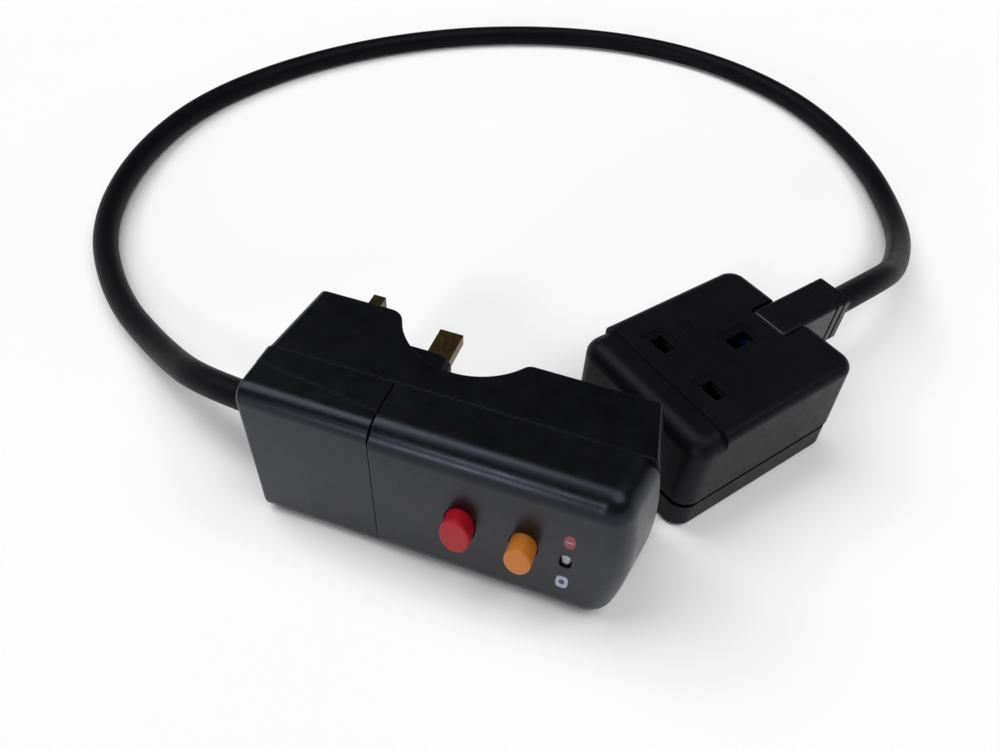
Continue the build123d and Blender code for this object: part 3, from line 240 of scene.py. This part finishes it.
def metal(name, colour, shade, rough, brush=(1, 1, 1), relief=0.15):
    """Metal with two shades in patches, brushing and uneven polish."""
    material, tree, shader = new_material(name)
    patch = ramp(tree, noise(tree, 110, 3, 0.5), 0, 1, low=patch_low)
    tree.links.new(blend_colour(tree, patch, colour, shade), shader.inputs["Base Color"])
    shader.inputs["Metallic"].default_value = 1.0
    lines = noise(tree, 900, 3, 0.6, brush)
    tree.links.new(ramp(tree, lines, rough - 0.06, rough + 0.1), shader.inputs["Roughness"])
    tree.links.new(bump(tree, lines, relief, 0.00005), shader.inputs["Normal"])
    return material


def clear_plastic(name, colour, rough):
    """Clear lens plastic."""
    material, tree, shader = new_material(name)
    shader.inputs["Base Color"].default_value = (*colour, 1)
    shader.inputs["Transmission Weight"].default_value = 0.85
    shader.inputs["IOR"].default_value = 1.49
    tree.links.new(ramp(tree, noise(tree, 400, 3), rough, rough + 0.08), shader.inputs["Roughness"])
    return material


def striped(name, first, second, pitch):
    """Insulation of two colours in stripes."""
    material, tree, shader = new_material(name)
    place = tree.nodes.new("ShaderNodeTexCoord")
    wave = tree.nodes.new("ShaderNodeTexWave")
    wave.inputs["Scale"].default_value = pitch
    wave.inputs["Distortion"].default_value = 0.4
    tree.links.new(place.outputs["Object"], wave.inputs["Vector"])
    side = ramp(tree, wave.outputs["Fac"], 0, 1, low=0.48, high=0.52)
    tree.links.new(blend_colour(tree, side, first, second), shader.inputs["Base Color"])
    tree.links.new(ramp(tree, noise(tree, 500, 3), 0.3, 0.45), shader.inputs["Roughness"])
    return material


cool = (0.85, 0.88, 1.0)
cooler = (0.74, 0.79, 1.0)

# Dark and light shade and roughness of each moulded finish, then what differs from the usual
mouldings = {
    "plug_moulding": ((0.0018, 0.0018, 0.0024), (0.003, 0.003, 0.0038), 0.3,
                      {"grain": 0.12, "gloss": 0.31, "tint": cooler, "edge": 0.0003}),
    "socket_moulding": ((0.0032, 0.0032, 0.0042), (0.005, 0.005, 0.0062), 0.42,
                        {"grain_scale": 1800, "grain": 0.35, "gloss": 0.1, "tint": cool, "edge": 0.0003}),
    "flex_sheath": ((0.0032, 0.0032, 0.004), (0.005, 0.005, 0.006), 0.42,
                    {"grain_scale": 1500, "grain": 0.3, "gloss": 0.055, "tint": cool}),
    "gland": ((0.004, 0.004, 0.0048), (0.006, 0.006, 0.0072), 0.3,
              {"grain": 0.15, "gloss": 0.25, "tint": cool}),
    "pin_sleeve": ((0.003, 0.003, 0.003), (0.005, 0.005, 0.005), 0.2, {}),
    "test_button": ((0.3, 0.006, 0.014), (0.38, 0.009, 0.022), 0.34, {"grain": 0.1, "gloss": 0.12}),
    "reset_button": ((0.42, 0.13, 0.018), (0.5, 0.17, 0.028), 0.34, {"grain": 0.1, "gloss": 0.12}),
    "flag": ((0.62, 0.6, 0.72), (0.74, 0.72, 0.82), 0.35, {"grain": 0.1}),
    "inner_plastic": ((0.5, 0.49, 0.45), (0.62, 0.61, 0.57), 0.4, {}),
    "grip_plastic": ((0.03, 0.03, 0.03), (0.05, 0.05, 0.05), 0.45, {}),
    "board": ((0.01, 0.07, 0.03), (0.02, 0.11, 0.05), 0.3, {"grain": 0.1}),
    "components": ((0.015, 0.015, 0.018), (0.03, 0.03, 0.035), 0.4, {}),
    "resistor": ((0.42, 0.3, 0.14), (0.52, 0.4, 0.2), 0.35, {}),
    "fuse_body": ((0.66, 0.64, 0.56), (0.76, 0.74, 0.66), 0.25, {"grain": 0.05}),
    "line_core": ((0.1, 0.035, 0.012), (0.14, 0.05, 0.02), 0.35, {}),
    "neutral_core": ((0.008, 0.02, 0.1), (0.012, 0.03, 0.14), 0.35, {}),
    "print_red": ((0.2, 0.03, 0.045), (0.26, 0.045, 0.06), 0.45, {"grain": 0.4, "gloss": 0.3}),
    "print_pale": ((0.3, 0.31, 0.42), (0.38, 0.39, 0.5), 0.45, {"grain": 0.4, "gloss": 0.3}),
}

# Two shades and roughness of each metal, then what differs from the usual
metals = {
    "brass": ((0.13, 0.086, 0.037), (0.1, 0.068, 0.03), 0.34, {"brush": (1, 1, 12), "relief": 0.04}),
    "steel": ((0.5, 0.5, 0.5), (0.4, 0.4, 0.41), 0.32, {}),
    "spring_steel": ((0.42, 0.42, 0.43), (0.3, 0.3, 0.3), 0.3, {}),
    "copper": ((0.5, 0.19, 0.09), (0.38, 0.13, 0.06), 0.3, {"brush": (1, 14, 1)}),
    "iron_core": ((0.12, 0.12, 0.12), (0.08, 0.08, 0.08), 0.5, {}),
}
earth_green = (0.06, 0.26, 0.03)
earth_yellow = (0.7, 0.6, 0.03)
earth_stripes = 90
lens_colour = (0.92, 0.93, 0.97)
lens_rough = 0.12


def make_materials():
    """Every finish by its slot name."""
    made = {}
    for kind, finishes in ((moulded, mouldings), (metal, metals)):
        for name, (first, second, rough, others) in finishes.items():
            made[name] = kind(name, first, second, rough, **others)
    made["earth_core"] = striped("earth_core", earth_green, earth_yellow, earth_stripes)
    made["lens"] = clear_plastic("lens", lens_colour, lens_rough)
    return made


def paint_nodes(materials):
    """Each CAD node takes the finish of its own slot."""
    slots = {part["node"]: part["material_slot"] for part in frame["record"]["subparts"]}
    for name, obj in nodes.items():
        for slot in obj.material_slots:
            slot.material = materials[slots[name]]


# Marks beside the window, printed a hair proud of the cover: middle (x, z) and half sizes in
# millimetres, squareness of the outline, rise in millimetres, material slot and finish
on_middle = (93.08, 35.5)
off_middle = (92.94, 15.67)
marks = {
    "on_mark": (on_middle, (1.6, 2.95), 2.0, 0.03, "test_button", "print_red"),
    "off_mark": (off_middle, (1.7, 2.9), 3.4, 0.03, "flag", "print_pale"),
    "on_bar": (on_middle, (0.95, 0.22), 6.0, 0.05, "flag", "print_pale"),
    "off_dot": (off_middle, (0.8, 1.25), 2.2, 0.05, "components", "components"),
}
mark_steps = 48
mark_root = 0.2
mark_rim = 0.94
mark_top = 0.5


def add_mark(name, materials):
    """Thin closed pad with a rounded rim, on the cover's front face."""
    (centre_x, centre_z), (half_x, half_z), power, rise, slot, finish = marks[name]
    build = bmesh.new()
    rings = []
    for depth, share in ((mark_root, 1.0), (-0.5 * rise, 1.0), (-rise, mark_rim), (-rise, mark_top)):
        ring = []
        for step in range(mark_steps):
            angle = 2 * math.pi * step / mark_steps
            across = math.copysign(abs(math.cos(angle)) ** (2 / power), math.cos(angle))
            along = math.copysign(abs(math.sin(angle)) ** (2 / power), math.sin(angle))
            ring.append(build.verts.new(on_plug(centre_x + half_x * share * across, depth,
                                                centre_z + half_z * share * along)))
        rings.append(ring)
    for low, high in zip(rings, rings[1:]):
        for step in range(mark_steps):
            after = (step + 1) % mark_steps
            build.faces.new((low[step], low[after], high[after], high[step]))
    build.faces.new(rings[0][::-1])
    build.faces.new(rings[-1])
    bmesh.ops.recalc_face_normals(build, faces=build.faces)
    mesh = bpy.data.meshes.new(name)
    build.to_mesh(mesh)
    build.free()
    mark = bpy.data.objects.new(name, mesh)
    scene.collection.objects.link(mark)
    mesh.materials.append(materials[finish])
    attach(mark, "housing")


# Floor
floor_reach = 30.0
floor_shade = (0.96, 0.96, 0.96)
floor_white = (0.98, 0.98, 0.98)


def add_floor():
    """Pale plain floor that runs out of view."""
    mesh = bpy.data.meshes.new("floor")
    build = bmesh.new()
    bmesh.ops.create_grid(build, x_segments=8, y_segments=8, size=floor_reach)
    build.to_mesh(mesh)
    build.free()
    floor = bpy.data.objects.new("floor", mesh)
    scene.collection.objects.link(floor)
    material, tree, shader = new_material("floor")
    shade = ramp(tree, noise(tree, 3, 3), 0, 1)
    tree.links.new(blend_colour(tree, shade, floor_shade, floor_white), shader.inputs["Base Color"])
    shader.inputs["Roughness"].default_value = 0.9
    shader.inputs["Specular IOR Level"].default_value = 0.1
    floor.data.materials.append(material)


# Light: the heights of the walls' top and the ceiling's edge are parts of a unit sphere round the
# object. A lamp stands at an azimuth and an elevation, is so wide, all in degrees, and gives a
# level white floor its level's share of plain light.
wall_top = 0.12
ceiling_start = 0.3
wall_level = 0.8
ceiling_level = 0.015
lamps = {
    "key": (-172, 77, 20, 0.12),
    "fill": (-64, 33, 9, 0.08),
    "low": (-66, 10, 8, 0.026),
    "right": (37, 62, 40, 0.32),
    "left": (-143, 54, 40, 0.32),
    "overhead": (0, 88, 50, 0.1),
}


def add_lamp(name, azimuth, elevation, width, level):
    """Soft lamp far away; the object's middle sees it towards (sin azimuth, -cos azimuth)."""
    data = bpy.data.lights.new(name, "SUN")
    data.angle = math.radians(width)
    data.energy = level * math.pi / math.sin(math.radians(elevation))
    lamp = bpy.data.objects.new(name, data)
    scene.collection.objects.link(lamp)
    lamp.rotation_euler = Euler((math.radians(90 - elevation), 0, math.radians(azimuth)))


def add_world():
    """White walls under a dark ceiling."""
    world = bpy.data.worlds.new("world")
    world.use_nodes = True
    tree = world.node_tree
    place = tree.nodes.new("ShaderNodeTexCoord")
    split = tree.nodes.new("ShaderNodeSeparateXYZ")
    tree.links.new(place.outputs["Generated"], split.inputs["Vector"])
    level = ramp(tree, split.outputs["Z"], wall_level, ceiling_level, low=wall_top, high=ceiling_start)
    tree.links.new(level, tree.nodes["Background"].inputs["Strength"])
    tree.nodes["Background"].inputs["Color"].default_value = (1, 1, 1, 1)
    scene.world = world


def add_light():
    """Walls, then lamps wide on both sides of the plug, weak overhead and behind, and two at its edge."""
    add_world()
    for name, values in lamps.items():
        add_lamp(name, *values)
    scene.view_settings.view_transform = "Standard"


add_camera()
materials = make_materials()
add_flex(materials["flex_sheath"])
paint_nodes(materials)
for name in marks:
    add_mark(name, materials)
add_floor()
add_light()
